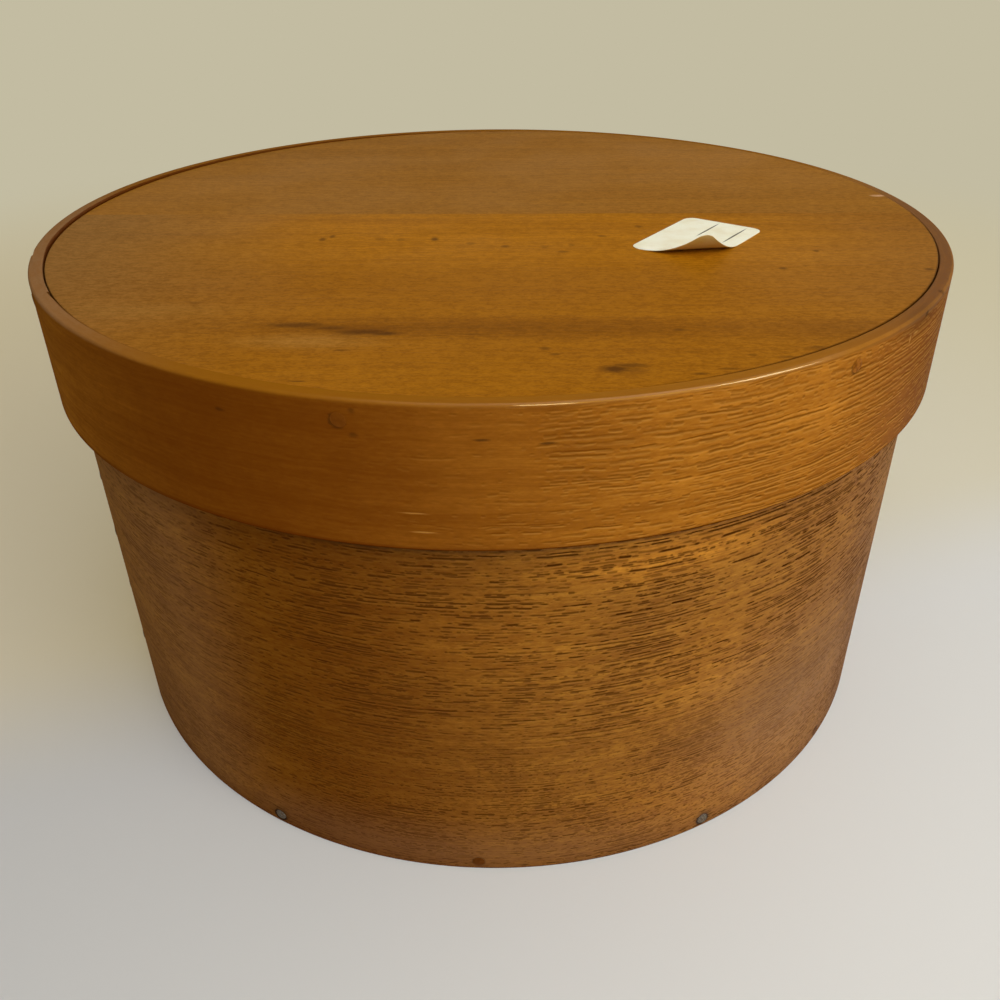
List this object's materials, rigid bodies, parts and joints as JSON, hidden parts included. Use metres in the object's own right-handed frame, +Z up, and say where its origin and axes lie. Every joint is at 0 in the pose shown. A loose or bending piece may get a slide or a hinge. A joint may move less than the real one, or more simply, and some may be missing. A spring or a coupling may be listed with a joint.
{
  "type": "bentwood pantry box",
  "caption": "Round bentwood pantry box: a bent oak band round a bottom board, closed by a deep lift-off lid with its own bent rim, both with lapped and tacked seams.",
  "frame": {"origin": "middle of the base, on the surface that the box stands on", "axes": "+Z up along the box's axis, -Y towards the front that the picture shows, +X to the right"},
  "size_m": [0.33, 0.33, 0.1869],
  "materials": {
    "body_oak": "open-pored oak under an old satin varnish",
    "lid_oak": "smooth oak under an old satin varnish",
    "lid_pine": "smooth board under a honey-brown satin varnish",
    "bottom_pine": "plain board, worn",
    "peg_wood": "dark end grain",
    "nail_iron": "dull grey iron",
    "tack_iron": "dull dark iron",
    "label_paper": "matte cream paper"
  },
  "bodies": {
    "box": {"body_band": "body_oak", "bottom_board": "bottom_pine", "body_seam_tacks": "tack_iron", "bottom_nails": "nail_iron", "bottom_pegs": "peg_wood"},
    "lid": {"lid_band": "lid_oak", "lid_board_front": "lid_pine", "lid_board_back": "lid_pine", "lid_seam_tacks": "tack_iron", "lid_pegs": "peg_wood", "paper_label": "label_paper"}
  },
  "joints": [
    {"name": "lid_lift", "type": "slide", "parent": "box", "child": "lid", "axis": [0, 0, 1], "range_m": [0, 0.1]}
  ]
}
